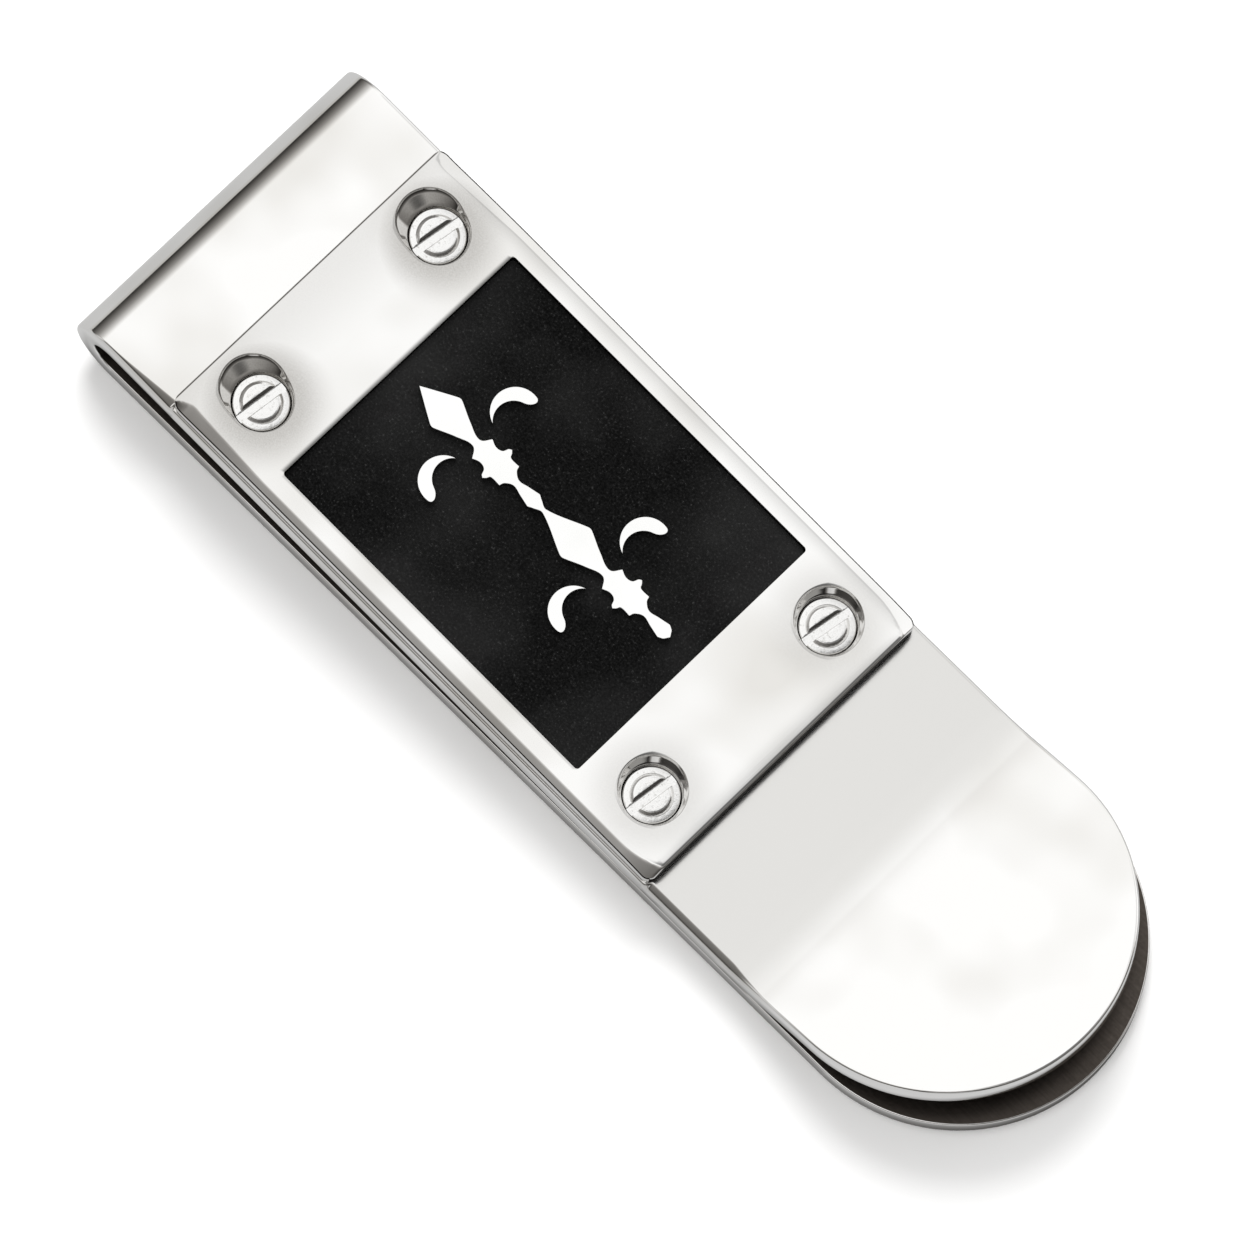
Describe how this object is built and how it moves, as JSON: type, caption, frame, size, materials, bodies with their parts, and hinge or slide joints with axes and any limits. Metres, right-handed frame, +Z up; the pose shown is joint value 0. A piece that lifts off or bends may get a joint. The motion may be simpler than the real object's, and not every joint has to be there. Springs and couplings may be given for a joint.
{
  "type": "money clip",
  "caption": "Folded spring-steel money clip with rounded leaf ends, a screwed cover plate framing a black inlay panel, and a raised double-finial emblem.",
  "frame": {"origin": "middle of the clip's length and width on the surface it lies on, under the back leaf", "axes": "+X from the fold to the tongue, +Y across the strip, +Z up through the cover plate"},
  "size_m": [0.0573, 0.0176, 0.0055],
  "materials": {
    "polished_steel": "mirror-polished stainless spring strip",
    "polished_plate": "mirror-polished stainless cover plate with softened edges",
    "black_plating": "satin black ion plating on steel",
    "polished_emblem": "bright polished steel overlay",
    "screw_steel": "polished steel slotted screws"
  },
  "bodies": {
    "back": {"back_leaf": "polished_steel", "fold_bend": "polished_steel"},
    "front": {"front_leaf": "polished_steel", "cover_plate": "polished_plate", "inlay_panel": "black_plating", "emblem_stem": "polished_emblem", "crescent_rear_left": "polished_emblem", "crescent_rear_right": "polished_emblem", "crescent_front_left": "polished_emblem", "crescent_front_right": "polished_emblem", "screw_rear_left": "screw_steel", "screw_rear_right": "screw_steel", "screw_front_left": "screw_steel", "screw_front_right": "screw_steel"}
  },
  "joints": [
    {"name": "clip_opening", "type": "hinge", "parent": "back", "child": "front", "pos_m": [-0.02635, 0, 0.0023], "axis": [0, -1, 0], "range_deg": [0, 6], "stiffness_Nm_per_rad": 3, "springref_deg": -2.29, "deforming": ["fold_bend"]}
  ]
}
